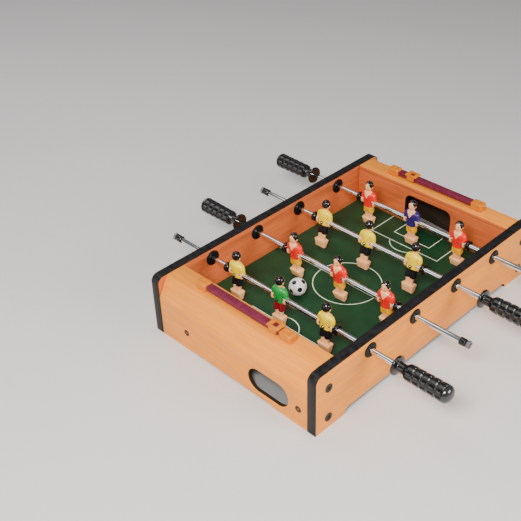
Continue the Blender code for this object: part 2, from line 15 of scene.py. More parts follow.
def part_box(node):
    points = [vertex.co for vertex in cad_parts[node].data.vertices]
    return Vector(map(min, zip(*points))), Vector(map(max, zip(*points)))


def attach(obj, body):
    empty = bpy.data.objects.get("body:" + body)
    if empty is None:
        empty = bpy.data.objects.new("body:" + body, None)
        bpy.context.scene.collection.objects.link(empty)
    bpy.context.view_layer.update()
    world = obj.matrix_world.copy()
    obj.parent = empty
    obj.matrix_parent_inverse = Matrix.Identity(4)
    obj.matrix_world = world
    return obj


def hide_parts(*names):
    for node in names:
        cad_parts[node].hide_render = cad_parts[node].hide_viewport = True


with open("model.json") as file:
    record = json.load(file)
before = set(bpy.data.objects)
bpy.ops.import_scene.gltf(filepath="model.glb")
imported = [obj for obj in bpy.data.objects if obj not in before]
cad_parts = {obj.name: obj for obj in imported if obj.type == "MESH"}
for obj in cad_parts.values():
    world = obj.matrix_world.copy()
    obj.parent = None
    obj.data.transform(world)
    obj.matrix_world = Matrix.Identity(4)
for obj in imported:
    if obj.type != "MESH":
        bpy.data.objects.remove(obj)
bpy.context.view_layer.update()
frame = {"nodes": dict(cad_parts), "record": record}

MM = 0.001
QUARTER_TURN = math.pi / 2
SHARP_ANGLE = math.radians(32)
FINE_STEPS = 64
CORNER_STEPS = 12
EDGE_ROUNDING = 0.00035

# Camera, from the corner between the left end and the front
CAMERA_PLACE = (-0.5822, -0.4831, 0.5891)
CAMERA_AZIMUTH = -43.47
CAMERA_ELEVATION = 35.45
CAMERA_ROLL = -2.22
CAMERA_LENS = 61.92

# Each light's name, place, target, size, power and colour
LIGHTS = (
    ("key", (-0.85, -0.45, 0.95), (0, 0, 0.02), (0.45, 0.3), 24.5, (1.0, 0.95, 0.88)),
    ("front", (0.25, -1.2, 0.55), (0.05, 0, 0.03), (0.6, 0.45), 11.0, (1.0, 0.96, 0.90)),
    ("overhead", (-0.12, 0.65, 1.0), (-0.12, 0.55, 0.0), (0.62, 1.3), 5.0, (1.0, 0.98, 0.95)),
    ("left", (-1.25, 0.8, 0.36), (0.0, 0.8, 0.30), (1.3, 0.42), 4.5, (1.0, 1.0, 1.0)),
)
WORLD_COLOUR = (0.95, 0.97, 1.0)
WORLD_STRENGTH = 0.18

# Colours, linear
BEECH_LIGHT = (1.0, 0.36, 0.030)
BEECH_DARK = (0.70, 0.18, 0.012)
RED_BEECH_LIGHT = (0.76, 0.18, 0.048)
RED_BEECH_DARK = (0.36, 0.065, 0.018)
# Near-black board: painted shade for the unlit inside of the cabinet, used inside the end covers, behind the
# goal walls and on the panels' cut edges
RAW_BOARD_PAINTED_SHADE = (0.022, 0.012, 0.007)
EDGING_BLACK = (0.010, 0.009, 0.010)
PITCH_GREEN = (0.009, 0.056, 0.020)
PITCH_GREEN_DARK = (0.0055, 0.034, 0.013)
LINE_WHITE = (0.74, 0.86, 0.66)
TRAY_GREY = (0.24, 0.24, 0.24)
PLASTIC_BLACK = (0.005, 0.005, 0.0055)
GRIP_BLACK = (0.006, 0.006, 0.0065)
DOME_GREY = (0.018, 0.018, 0.019)
TIP_GREY = (0.13, 0.13, 0.135)
STEEL = (0.88, 0.88, 0.89)
SCREW_BLACK = (0.007, 0.0065, 0.006)
AMBER = (0.66, 0.185, 0.0)
MAROON = (0.15, 0.014, 0.040)
SKIN = (1.0, 0.50, 0.22)
HAIR = (0.004, 0.004, 0.005)
RED = (0.88, 0.010, 0.006)
YELLOW = (1.0, 0.66, 0.0)
SHORTS_YELLOW = (0.95, 0.42, 0.0)
SHORTS_BLACK = (0.006, 0.005, 0.009)
SHORTS_RED = (0.22, 0.004, 0.012)
GREEN = (0.012, 0.28, 0.045)
PURPLE = (0.030, 0.012, 0.15)
BALL_WHITE = (0.82, 0.83, 0.85)
BALL_BLACK = (0.012, 0.012, 0.013)
FLOOR_LIGHT = (0.74, 0.74, 0.75)
FLOOR_DARK = (0.70, 0.70, 0.71)


# Materials

WOOD_ROUGHNESS = 0.42


def new_material(name, roughness, metallic=0.0, specular=0.5):
    material = bpy.data.materials.new(name)
    material.use_nodes = True
    shader = material.node_tree.nodes["Principled BSDF"]
    shader.inputs["Roughness"].default_value = roughness
    shader.inputs["Metallic"].default_value = metallic
    shader.inputs["Specular IOR Level"].default_value = specular
    return material, material.node_tree, shader


def add_node(tree, kind, **settings):
    node = tree.nodes.new(kind)
    for key, value in settings.items():
        if hasattr(node, key):
            setattr(node, key, value)
        else:
            node.inputs[key.replace("_", " ").capitalize()].default_value = value
    return node


def stretched_noise(tree, stretch, detail=3.0, roughness=0.55, distortion=0.0):
    """Noise in the piece's own coordinates, with one feature per 1/stretch metres along each axis."""
    coordinates = add_node(tree, "ShaderNodeTexCoord")
    mapping = add_node(tree, "ShaderNodeMapping")
    mapping.inputs["Scale"].default_value = stretch
    tree.links.new(coordinates.outputs["Object"], mapping.inputs["Vector"])
    noise = add_node(tree, "ShaderNodeTexNoise", Scale=1.0, Detail=detail, Roughness=roughness,
                     Distortion=distortion)
    tree.links.new(mapping.outputs["Vector"], noise.inputs["Vector"])
    return noise.outputs["Fac"]


def ramp(tree, factor, stops):
    """A colour ramp over (position, colour) stops."""
    node = add_node(tree, "ShaderNodeValToRGB")
    elements = node.color_ramp.elements
    while len(elements) < len(stops):
        elements.new(0.5)
    for element, (position, colour) in zip(elements, stops):
        element.position = position
        element.color = (*colour, 1.0)
    tree.links.new(factor, node.inputs["Fac"])
    return node.outputs["Color"]


def map_range(tree, factor, low, high, start=0.3, end=0.7):
    node = add_node(tree, "ShaderNodeMapRange")
    for socket, value in zip(("From Min", "From Max", "To Min", "To Max"), (start, end, low, high)):
        node.inputs[socket].default_value = value
    tree.links.new(factor, node.inputs["Value"])
    return node.outputs["Result"]


def feed(tree, socket, value):
    """Links an output to the socket, or sets the socket to a number or a colour."""
    if isinstance(value, bpy.types.NodeSocket):
        tree.links.new(value, socket)
    elif isinstance(value, tuple):
        socket.default_value = (*value, 1.0)
    else:
        socket.default_value = value


def mix_colour(tree, factor, first, second):
    node = add_node(tree, "ShaderNodeMix", data_type="RGBA")
    for socket, value in (("Factor", factor), (6, first), (7, second)):
        feed(tree, node.inputs[socket], value)
    return node.outputs[2]


def calculate(tree, operation, *values):
    node = add_node(tree, "ShaderNodeMath", operation=operation)
    for socket, value in zip(node.inputs, values):
        feed(tree, socket, value)
    return node.outputs["Value"]


def drive(tree, shader, colour, roughness):
    tree.links.new(colour, shader.inputs["Base Color"])
    tree.links.new(roughness, shader.inputs["Roughness"])


def add_bump(tree, shader, height, distance, strength=0.5):
    bump = add_node(tree, "ShaderNodeBump")
    bump.inputs["Strength"].default_value = strength
    bump.inputs["Distance"].default_value = distance
    tree.links.new(height, bump.inputs["Height"])
    tree.links.new(bump.outputs["Normal"], shader.inputs["Normal"])


def wood(name, light, dark, along):
    """Printed beech grain that runs along one axis (0 for X, 1 for Y), with pores and broad streaks."""
    material, tree, shader = new_material(name, WOOD_ROUGHNESS, specular=0.25)

    def stretch(length, width):
        scale = [1 / width] * 3
        scale[along] = 1 / length
        return scale

    streaks = stretched_noise(tree, stretch(0.060, 0.0040), 4.0, 0.6, 0.4)
    fibres = stretched_noise(tree, stretch(0.030, 0.0007), 3.0, 0.6)
    pores = stretched_noise(tree, stretch(0.0045, 0.0004), 1.0)
    clouds = stretched_noise(tree, stretch(0.09, 0.05), 2.0)
    middle = tuple((a + b) / 2 for a, b in zip(light, dark))
    base = ramp(tree, streaks, ((0.30, dark), (0.50, middle), (0.68, light)))
    broad = mix_colour(tree, 0.55, base, light)
    fine = mix_colour(tree, map_range(tree, fibres, 0.0, 0.55, 0.42, 0.70), broad, dark)
    spotted = mix_colour(tree, map_range(tree, pores, 0.0, 0.55, 0.66, 0.74), fine, dark)
    toned = mix_colour(tree, map_range(tree, clouds, 0.0, 0.30), spotted, middle)
    drive(tree, shader, toned, map_range(tree, fibres, WOOD_ROUGHNESS - 0.06, WOOD_ROUGHNESS + 0.10))
    shader.inputs["Coat Weight"].default_value = 0.08
    shader.inputs["Coat Roughness"].default_value = 0.30
    add_bump(tree, shader, fibres, 0.00006, 0.35)
    return material


def board(name, colour, grain=0.0012, roughness=0.75):
    """Bare or painted fibreboard: speckled, dull and a little rough."""
    material, tree, shader = new_material(name, roughness, specular=0.3)
    speckle = stretched_noise(tree, [1 / grain] * 3, 4.0, 0.7)
    lighter = tuple(min(1.0, 1.5 * value) for value in colour)
    darker = tuple(0.6 * value for value in colour)
    drive(tree, shader, ramp(tree, speckle, ((0.35, darker), (0.5, colour), (0.66, lighter))),
          map_range(tree, speckle, roughness - 0.08, roughness + 0.08))
    add_bump(tree, shader, speckle, 0.0002, 0.5)
    return material


def plastic(name, colour, roughness=0.28, coat=0.3, mottle=0.12, specular=0.4):
    """Moulded plastic: faint clouding, a wavy skin, and fine rubbed marks that dull the gloss."""
    material, tree, shader = new_material(name, roughness, specular=specular)
    clouds = stretched_noise(tree, [180.0] * 3, 3.0)
    skin = stretched_noise(tree, [900.0] * 3, 2.0)
    darker = tuple(value * (1 - mottle) for value in colour)
    lighter = tuple(min(1.0, value * (1 + mottle) + 0.004) for value in colour)
    marks = stretched_noise(tree, [400.0, 4200.0, 900.0], 1.0, 0.5, 0.8)
    rough = calculate(tree, "ADD", map_range(tree, clouds, roughness - 0.05, roughness + 0.08),
                      map_range(tree, marks, 0.0, 0.16, 0.62, 0.72))
    drive(tree, shader, ramp(tree, clouds, ((0.35, darker), (0.65, lighter))), rough)
    shader.inputs["Coat Weight"].default_value = coat
    shader.inputs["Coat Roughness"].default_value = 0.12
    add_bump(tree, shader, skin, 0.00005, 0.25)
    return material


def metal(name, colour, roughness, along=1):
    """Plated metal with fine drawing lines along one axis and a few dull specks."""
    material, tree, shader = new_material(name, roughness, 1.0)
    scale = [3000.0] * 3
    scale[along] = 20.0
    lines = stretched_noise(tree, scale, 2.0)
    specks = stretched_noise(tree, [700.0] * 3, 2.0)
    dull = tuple(value * 0.72 for value in colour)
    drive(tree, shader, mix_colour(tree, map_range(tree, specks, 0.0, 0.5, 0.62, 0.75), colour, dull),
          map_range(tree, lines, roughness - 0.03, roughness + 0.07))
    add_bump(tree, shader, lines, 0.000003, 0.15)
    return material


def pitch_paint():
    """Dark green print on board, with faint mottling and rubbed patches."""
    material, tree, shader = new_material("pitch_print", 0.5, specular=0.35)
    mottle = stretched_noise(tree, [45.0] * 3, 4.0, 0.6)
    fine = stretched_noise(tree, [1400.0] * 3, 2.0)
    base = ramp(tree, mottle, ((0.30, PITCH_GREEN_DARK), (0.70, PITCH_GREEN)))
    lighter = tuple(value * 1.6 for value in PITCH_GREEN)
    drive(tree, shader, mix_colour(tree, map_range(tree, fine, 0.0, 0.35, 0.45, 0.75), base, lighter),
          map_range(tree, mottle, 0.42, 0.60))
    add_bump(tree, shader, fine, 0.00005, 0.3)
    return material


def shirt_paint(name, colour):
    """A shirt's paint, with the skin showing in the V of its neck at the front."""
    material = plastic(name, colour, 0.30)
    tree = material.node_tree
    base = tree.nodes["Principled BSDF"].inputs["Base Color"]
    painted = base.links[0].from_socket
    coordinates = add_node(tree, "ShaderNodeTexCoord")
    split = add_node(tree, "ShaderNodeSeparateXYZ")
    tree.links.new(coordinates.outputs["Object"], split.inputs["Vector"])

    sideways = calculate(tree, "MULTIPLY", calculate(tree, "ABSOLUTE", split.outputs["Y"]), NECK_SLOPE)
    height = calculate(tree, "SUBTRACT", split.outputs["Z"], sideways)
    above = calculate(tree, "GREATER_THAN", height, NECK_POINT * MM)
    in_front = calculate(tree, "GREATER_THAN", split.outputs["X"], 0.0)
    bare = calculate(tree, "MULTIPLY", above, in_front)
    tree.links.new(mix_colour(tree, bare, painted, SKIN), base)
    return material


# Mesh tools

def add_object(name, data):
    obj = bpy.data.objects.new(name, data)
    bpy.context.scene.collection.objects.link(obj)
    return obj


def to_mesh(name, shape):
    """The shape as a mesh. The shape is freed."""
    mesh = bpy.data.meshes.new(name)
    shape.to_mesh(mesh)
    shape.free()
    return mesh


def piece(name, mesh, body, replaced=(), matrix=Matrix.Identity(4)):
    """A visible piece that rides on a body and stands for CAD nodes."""
    obj = add_object(name, mesh)
    obj.matrix_world = matrix
    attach(obj, body)
    if replaced:
        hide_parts(*replaced)
    return obj


def finished_mesh(name, shape, materials, smooth=True):
    bmesh.ops.recalc_face_normals(shape, faces=shape.faces)
    mesh = to_mesh(name, shape)
    for material in materials:
        mesh.materials.append(material)
    if smooth:
        mesh.shade_smooth()
        mesh.set_sharp_from_angle(angle=SHARP_ANGLE)
    return mesh


def arc(centre, radius, start, end, steps=CORNER_STEPS):
    points = []
    for step in range(steps + 1):
        angle = math.radians(start + (end - start) * step / steps)
        points.append((centre[0] + radius * math.cos(angle), centre[1] + radius * math.sin(angle)))
    return points


def mirrored(points):
    return points + [(-x, y) for x, y in reversed(points)]


def plate_mesh(name, loops, thickness, matrix, rounding=EDGE_ROUNDING):
    """A flat plate with rounded edges: the first loop is its outline, the others are holes."""
    curve = bpy.data.curves.new(name, "CURVE")
    curve.dimensions = "2D"
    curve.fill_mode = "BOTH"
    curve.extrude = thickness / 2 - rounding
    curve.bevel_depth = rounding
    curve.bevel_resolution = 1
    curve.offset = -rounding
    for loop in loops:
        spline = curve.splines.new("POLY")
        spline.points.add(len(loop) - 1)
        for point, (x, y) in zip(spline.points, loop):
            point.co = (x, y, 0, 1)
        spline.use_cyclic_u = True
    source = add_object(name, curve)
    bpy.context.view_layer.update()
    evaluated = source.evaluated_get(bpy.context.evaluated_depsgraph_get())
    mesh = bpy.data.meshes.new_from_object(evaluated)
    bpy.data.objects.remove(source)
    mesh.transform(matrix)
    shape = bmesh.new()
    shape.from_mesh(mesh)
    bmesh.ops.remove_doubles(shape, verts=shape.verts, dist=0.00001)
    bpy.data.meshes.remove(mesh)
    return shape


def cut_mesh(shape, cutters):
    """The shape with each cutter's solid taken away, as a new bmesh."""
    helpers = []
    for solid in (shape, *cutters):
        bmesh.ops.recalc_face_normals(solid, faces=solid.faces)
        helpers.append(add_object("solid", to_mesh("solid", solid)))
    for cutter in helpers[1:]:
        modifier = helpers[0].modifiers.new("cut", "BOOLEAN")
        modifier.object = cutter
        modifier.operation = "DIFFERENCE"
        modifier.solver = "EXACT"
    bpy.context.view_layer.update()
    evaluated = helpers[0].evaluated_get(bpy.context.evaluated_depsgraph_get())
    mesh = bpy.data.meshes.new_from_object(evaluated)
    for helper in helpers:
        bpy.data.objects.remove(helper)
    result = bmesh.new()
    result.from_mesh(mesh)
    bpy.data.meshes.remove(mesh)
    return result


def join(shape, other):
    """Adds the other shape to the first one, and frees it."""
    mesh = to_mesh("joined", other)
    shape.from_mesh(mesh)
    bpy.data.meshes.remove(mesh)


def soften(shape, width, segments=2, angle=40):
    """Bevels every edge sharper than the angle, in degrees."""
    sharp = [edge for edge in shape.edges
             if len(edge.link_faces) == 2 and edge.calc_face_angle(0.0) > math.radians(angle)]
    bmesh.ops.bevel(shape, geom=sharp, offset=width, segments=segments, profile=0.5, affect="EDGES",
                    clamp_overlap=True)


def box_shape(low, high):
    shape = bmesh.new()
    bmesh.ops.create_cube(shape, size=1.0)
    bmesh.ops.scale(shape, vec=Vector(high) - Vector(low), verts=shape.verts)
    bmesh.ops.translate(shape, vec=(Vector(high) + Vector(low)) / 2, verts=shape.verts)
    return shape


def filleted(profile, radius, steps=4):
    """An open profile whose inner corners are rounded off by the radius, as far as its legs allow."""
    points = [Vector(point) for point in profile]
    result = [points[0]]
    for before, corner, after in zip(points, points[1:], points[2:]):
        reach = min(radius, (before - corner).length * 0.45, (after - corner).length * 0.45)
        start = corner + (before - corner).normalized() * reach
        end = corner + (after - corner).normalized() * reach
        for step in range(steps + 1):
            share = step / steps
            result.append(start * (1 - share) ** 2 + corner * 2 * share * (1 - share) + end * share ** 2)
    result.append(points[-1])
    return [tuple(point) for point in result]


def turned(profile, steps=FINE_STEPS, material_at=None, radius_at=None):
    """A surface turned about Z from (radius, height) points, in millimetres.

    material_at(radius, height) picks a face's material, and radius_at(radius, height, angle)
    changes the radius round the turn.
    """
    shape = bmesh.new()
    rings = []
    for radius, height in profile:
        ring = []
        for step in range(steps):
            angle = 2 * math.pi * step / steps
            here = radius_at(radius, height, angle) if radius_at else radius
            point = Vector((here * math.cos(angle), here * math.sin(angle), height))
            ring.append(shape.verts.new(point * MM))
        rings.append(ring)
    for index, (lower, upper) in enumerate(zip(rings, rings[1:])):
        for step in range(steps):
            after = (step + 1) % steps
            face = shape.faces.new((lower[step], lower[after], upper[after], upper[step]))
            if material_at:
                middle = (Vector(profile[index]) + Vector(profile[index + 1])) / 2
                face.material_index = material_at(*middle)
    bmesh.ops.remove_doubles(shape, verts=shape.verts, dist=0.000002)
    return shape


def close_base(shape):
    rim = [edge for edge in shape.edges if edge.is_boundary]
    bmesh.ops.holes_fill(shape, edges=rim, sides=0)


def paint_faces(shape, index_of):
    """Gives each face the material that index_of(centre, normal) picks."""
    bmesh.ops.recalc_face_normals(shape, faces=shape.faces)
    for face in shape.faces:
        face.material_index = index_of(face.calc_center_median(), face.normal)


def centre_of(node):
    low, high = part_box(node)
    return (low + high) / 2


def half_size(node):
    low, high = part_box(node)
    return (high - low) / 2


def repaint(node, material):
    """Gives a CAD node that stays visible its material."""
    materials = frame["nodes"][node].data.materials
    materials.clear()
    materials.append(material)


STAND_ALONG_X = Matrix.Rotation(QUARTER_TURN, 4, "X")
STAND_ALONG_Y = Matrix.Rotation(QUARTER_TURN, 4, "Z") @ Matrix.Rotation(QUARTER_TURN, 4, "X")
TOWARDS_FRONT = Matrix.Rotation(QUARTER_TURN, 4, "X")
TOWARDS_BACK = Matrix.Rotation(-QUARTER_TURN, 4, "X")
ENDS = (("left", 1, Matrix.Identity(4)), ("right", -1, Matrix.Rotation(math.pi, 4, "Z")))
LONG_SIDES = (("front", -1, TOWARDS_FRONT), ("back", 1, TOWARDS_BACK))
NECK_POINT = 5.0
NECK_SLOPE = 1.55

beech_x = wood("beech_print_along_x", BEECH_LIGHT, BEECH_DARK, 0)
beech_y = wood("beech_print_along_y", BEECH_LIGHT, BEECH_DARK, 1)
red_beech_x = wood("red_beech_print_along_x", RED_BEECH_LIGHT, RED_BEECH_DARK, 0)
red_beech_y = wood("red_beech_print_along_y", RED_BEECH_LIGHT, RED_BEECH_DARK, 1)
raw_board_painted_shade = board("raw_board_painted_shade", RAW_BOARD_PAINTED_SHADE)
edging = plastic("black_edging", EDGING_BLACK, 0.40, 0.0, 0.3, specular=0.22)
grip_plastic = plastic("grip_moulding", GRIP_BLACK, 0.18, 0.35, 0.2, specular=0.45)
grip_dome = plastic("grip_dome", DOME_GREY, 0.12, 0.6, 0.1, specular=0.5)
black = plastic("black_moulding", PLASTIC_BLACK, 0.20, 0.3, 0.2, specular=0.35)
tip_plastic = plastic("grey_tip", TIP_GREY, 0.12, 0.8)
chrome = metal("chrome_tube", STEEL, 0.09, along=2)
figure_screw = metal("figure_screw", STEEL, 0.22)
amber = plastic("amber_moulding", AMBER, 0.40, 0.1, specular=0.3)
maroon = plastic("maroon_moulding", MAROON, 0.42, 0.0, specular=0.25)
line_ink = plastic("line_ink", LINE_WHITE, 0.50, 0.0, 0.06)
screw_black = plastic("blackened_screw", SCREW_BLACK, 0.38, 0.0, 0.2, specular=0.3)
bush_plastic = plastic("bush_moulding", PLASTIC_BLACK, 0.45, 0.0, 0.2, specular=0.18)
tray_paint = board("tray_paint", TRAY_GREY, 0.0008, 0.7)
skin = plastic("skin_paint", SKIN, 0.34, 0.2, 0.05)
hair = plastic("hair_paint", HAIR, 0.16, 0.6, 0.2)
ball_white = plastic("ball_white", BALL_WHITE, 0.26, 0.3, 0.03)
ball_black = plastic("ball_black", BALL_BLACK, 0.24, 0.3, 0.1)


# Stage

def build_stage():
    shape = bmesh.new()
    bmesh.ops.create_grid(shape, x_segments=1, y_segments=1, size=6.0)
    mesh = to_mesh("floor", shape)
    material, tree, shader = new_material("floor", 0.6, specular=0.2)
    clouds = stretched_noise(tree, [2.0] * 3, 2.0)
    tree.links.new(ramp(tree, clouds, ((0.3, FLOOR_DARK), (0.7, FLOOR_LIGHT))), shader.inputs["Base Color"])
    mesh.materials.append(material)
    add_object("floor", mesh)


def add_light(name, place, target, size, power, colour):
    light = bpy.data.lights.new(name, "AREA")
    light.shape = "RECTANGLE"
    light.size, light.size_y = size
    light.energy = power
    light.color = colour
    obj = add_object(name, light)
    obj.location = place
    obj.rotation_euler = (Vector(target) - Vector(place)).to_track_quat("-Z", "Y").to_euler()


def build_lights():
    world = bpy.data.worlds.new("studio")
    world.use_nodes = True
    background = world.node_tree.nodes["Background"]
    background.inputs["Color"].default_value = (*WORLD_COLOUR, 1.0)
    background.inputs["Strength"].default_value = WORLD_STRENGTH
    bpy.context.scene.world = world
    for light in LIGHTS:
        add_light(*light)


def build_camera():
    camera = bpy.data.cameras.new("camera")
    camera.sensor_width = 36.0
    camera.lens = CAMERA_LENS
    camera.clip_start = 0.02
    camera.clip_end = 30.0
    obj = add_object("camera", camera)
    turn = Matrix.Rotation(math.radians(CAMERA_AZIMUTH), 4, "Z")
    tilt = Matrix.Rotation(math.radians(90 - CAMERA_ELEVATION), 4, "X")
    roll = Matrix.Rotation(math.radians(CAMERA_ROLL), 4, "Z")
    obj.matrix_world = Matrix.Translation(CAMERA_PLACE) @ turn @ tilt @ roll
    bpy.context.scene.camera = obj


# Cabinet

HALF_LENGTH, HALF_WIDTH, TABLE_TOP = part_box("edge_band_back")[1]
PANEL_THICKNESS = 2 * half_size("edge_band_front").y
PANEL_CORNER = 0.008
BAND_THICKNESS = 0.0008
SEAM = 0.0001
RELIEF_END = 0.1305
RELIEF_HEIGHT = 0.0065
COVER_THICKNESS = 0.004
OUTLET_CENTRE = (-0.051, 0.0215)
OUTLET_LENGTH = 0.0515
OUTLET_HEIGHT = 0.026
COVER_BEVEL_TOP_X = 0.158
COVER_BEVEL_BOTTOM_Z = 0.046
COVER_RELIEF_HALF_WIDTH = 0.056
COVER_RELIEF_HEIGHT = 0.0015
COVER_SKIN = 0.0012
GOAL_HALF_WIDTH = 0.031
GOAL_HEIGHT = 0.057
GOAL_CORNER = 0.008
BAND_BOTTOM = 0.0003
ROD_HEIGHT = centre_of("rod1_tube").z
PITCH_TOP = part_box("pitch_board")[1].z


def panel_outline():
    end = HALF_LENGTH - BAND_THICKNESS - SEAM
    top = TABLE_TOP - BAND_THICKNESS - SEAM
    radius = PANEL_CORNER - BAND_THICKNESS - SEAM
    relief = arc((RELIEF_END - RELIEF_HEIGHT, 0), RELIEF_HEIGHT, 90, 0)
    return mirrored(relief + [(end, 0)] + arc((end - radius, top - radius), radius, 0, 90))


def band_outline():
    centre = (HALF_LENGTH - PANEL_CORNER, TABLE_TOP - PANEL_CORNER)
    inside = HALF_LENGTH - BAND_THICKNESS
    outer = [(HALF_LENGTH, BAND_BOTTOM)] + arc(centre, PANEL_CORNER, 0, 90)
    inner = [(inside, BAND_BOTTOM)] + arc(centre, PANEL_CORNER - BAND_THICKNESS, 0, 90)
    return mirrored(outer) + [(-x, z) for x, z in inner] + list(reversed(inner))


def build_side_panels():
    rods = [centre_of(f"rod{n}_tube").x for n in range(1, 5)]
    holes = [arc((x, ROD_HEIGHT), BUSH_BARREL * MM, 0, 360, 24)[:-1] for x in rods]
    for side, direction, _ in LONG_SIDES:
        place = Matrix.Translation((0, direction * (HALF_WIDTH - PANEL_THICKNESS / 2), 0)) @ STAND_ALONG_X
        shape = plate_mesh("side_panel", [panel_outline(), *holes], PANEL_THICKNESS - 0.0001, place)

        # Cut edges take the near-black board, darkened as painted shade.
        def panel_material(centre, normal):
            if abs(normal.y) < 0.35:
                return 2
            return 0 if normal.y * direction > 0 else 1

        paint_faces(shape, panel_material)
        mesh = finished_mesh(f"panel_{side}", shape, (beech_x, red_beech_x, raw_board_painted_shade))
        piece(f"panel_{side}", mesh, "cabinet", (f"side_panel_{side}",))
        shape = plate_mesh("edging", [band_outline()], PANEL_THICKNESS, place, 0.00025)
        mesh = finished_mesh(f"edging_{side}", shape, (edging,))
        piece(f"edging_{side}", mesh, "cabinet", (f"edge_band_{side}",))


def outlet_outline(side):
    centre_y, centre_z = OUTLET_CENTRE
    centre_y *= side
    radius = OUTLET_HEIGHT / 2
    reach = OUTLET_LENGTH / 2 - radius
    right = arc((centre_y + reach, centre_z), radius, -90, 90, 2 * CORNER_STEPS)
    left = arc((centre_y - reach, centre_z), radius, 90, 270, 2 * CORNER_STEPS)
    return right + left


def cover_mesh(side):
    """A cover at the left end: side is 1 with its outlet near the front, -1 near the back."""
    low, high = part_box("end_cover_left")
    outer_x, top = -low.x, high.z
    slope = math.atan2(outer_x - COVER_BEVEL_TOP_X, top - COVER_BEVEL_BOTTOM_Z)
    upper_fold = COVER_THICKNESS * math.tan((QUARTER_TURN - slope) / 2)
    lower_fold = COVER_THICKNESS * math.tan(slope / 2)
    profile = [
        (high.x, top),
        (-COVER_BEVEL_TOP_X, top),
        (-outer_x, COVER_BEVEL_BOTTOM_Z),
        (-outer_x, 0),
        (-outer_x + COVER_THICKNESS, 0),
        (-outer_x + COVER_THICKNESS, COVER_BEVEL_BOTTOM_Z - lower_fold),
        (-COVER_BEVEL_TOP_X + upper_fold, top - COVER_THICKNESS),
        (high.x, top - COVER_THICKNESS),
    ]
    shape = plate_mesh("cover", [profile], high.y - low.y, STAND_ALONG_X, 0.0)
    place = Matrix.Translation((-outer_x, 0, 0)) @ STAND_ALONG_Y
    outlet = plate_mesh("outlet", [outlet_outline(side)], 0.05, place, 0.0)
    relief = box_shape((-outer_x - 0.01, -COVER_RELIEF_HALF_WIDTH, -0.01),
                       (-outer_x + 0.01, COVER_RELIEF_HALF_WIDTH, COVER_RELIEF_HEIGHT))
    shape = cut_mesh(shape, (outlet, relief))
    soften(shape, 0.0003, 2, 20)

    # Faces inside the cover take the near-black board: painted shade for the dark inside of the cabinet.
    def cover_material(centre, normal):
        facing_out = normal.x < -0.3 or normal.z > 0.5
        inside = centre.x > -outer_x + COVER_SKIN and centre.z < top - COVER_SKIN
        on_slope = normal.x < -0.3 and normal.z > 0.2
        if normal.x > 0.7 and centre.z > top - COVER_THICKNESS and centre.x > high.x - 0.001:
            return 2
        return 0 if facing_out and (not inside or on_slope) else 1

    paint_faces(shape, cover_material)
    return finished_mesh("end_cover", shape, (beech_y, raw_board_painted_shade, red_beech_y))


def goal_wall_mesh():
    low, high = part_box("goal_wall_left")
    outline = mirrored([(high.y, low.z), (high.y, high.z)])
    corner = (GOAL_HALF_WIDTH - GOAL_CORNER, GOAL_HEIGHT - GOAL_CORNER)
    goal = mirrored([(GOAL_HALF_WIDTH, PITCH_TOP - BAND_BOTTOM)] + arc(corner, GOAL_CORNER, 0, 90))
    place = Matrix.Translation(((low.x + high.x) / 2, 0, 0)) @ STAND_ALONG_Y
    shape = plate_mesh("goal_wall", [outline, goal], high.x - low.x, place, 0.0002)
    # The back of the wall takes the near-black board: painted shade seen through the goal.
    paint_faces(shape, lambda centre, normal: 0 if normal.x > 0.35 else 1)
    return finished_mesh("goal_wall", shape, (red_beech_y, raw_board_painted_shade))


def build_ends():
    wall = goal_wall_mesh()
    for side, hand, turn in ENDS:
        piece(f"cover_{side}", cover_mesh(hand), "cabinet", (f"end_cover_{side}",), turn)
        piece(f"goal_{side}", wall, "cabinet", (f"goal_wall_{side}",), turn)
        repaint(f"ball_tray_{side}", tray_paint)


# Pitch

LINE_WIDTH = 0.0010
LINE_THICKNESS = 0.00008
PITCH_MARGIN = 0.0005
CIRCLE_RADIUS = 0.0364
LARGE_BOX = (0.095, 0.045)
SMALL_BOX = (0.1095, 0.024)
ARC_CENTRE_X = 0.1035
ARC_RADIUS = 0.0205


def stroke(points):
    """The outline of a printed line along open points, with mitred corners."""
    path = [Vector(point) for point in points]
    left, right = [], []
    for index, point in enumerate(path):
        before = (point - path[index - 1]).normalized() if index else None
        after = (path[index + 1] - point).normalized() if index < len(path) - 1 else None
        first, second = before or after, after or before
        normal = (Vector((-first.y, first.x)) + Vector((-second.y, second.x))).normalized()
        reach = LINE_WIDTH / 2 / max(0.3, normal.dot(Vector((-first.y, first.x))))
        left.append(tuple(point + normal * reach))
        right.append(tuple(point - normal * reach))
    return left + right[::-1]


def build_pitch():
    repaint("pitch_board", pitch_paint())
    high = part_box("pitch_board")[1]
    half_width = high.y - PITCH_MARGIN
    wall = high.x - PITCH_MARGIN
    half_line = LINE_WIDTH / 2
    circle = [arc((0, 0), CIRCLE_RADIUS + side, 0, 360, 96)[:-1] for side in (half_line, -half_line)]
    shapes = [circle, [stroke([(0, -half_width), (0, half_width)])]]
    box_angle = math.degrees(math.acos((ARC_CENTRE_X - LARGE_BOX[0]) / ARC_RADIUS))
    for direction in (-1, 1):
        for reach, width in (LARGE_BOX, SMALL_BOX):
            corners = [(wall, -width), (reach, -width), (reach, width), (wall, width)]
            shapes.append([stroke([(direction * x, y) for x, y in corners])])
        bow = arc((ARC_CENTRE_X, 0), ARC_RADIUS, 180 - box_angle, 180 + box_angle, 32)
        shapes.append([stroke([(direction * x, y) for x, y in bow])])
    joined = bmesh.new()
    on_pitch = Matrix.Translation((0, 0, PITCH_TOP + LINE_THICKNESS / 2))
    for loops in shapes:
        join(joined, plate_mesh("line", loops, LINE_THICKNESS, on_pitch, 0.0))
    mesh = finished_mesh("pitch_lines", joined, (line_ink,), False)
    piece("pitch_lines", mesh, "cabinet")


# Bushes, rings, tubes, caps and handles, in millimetres

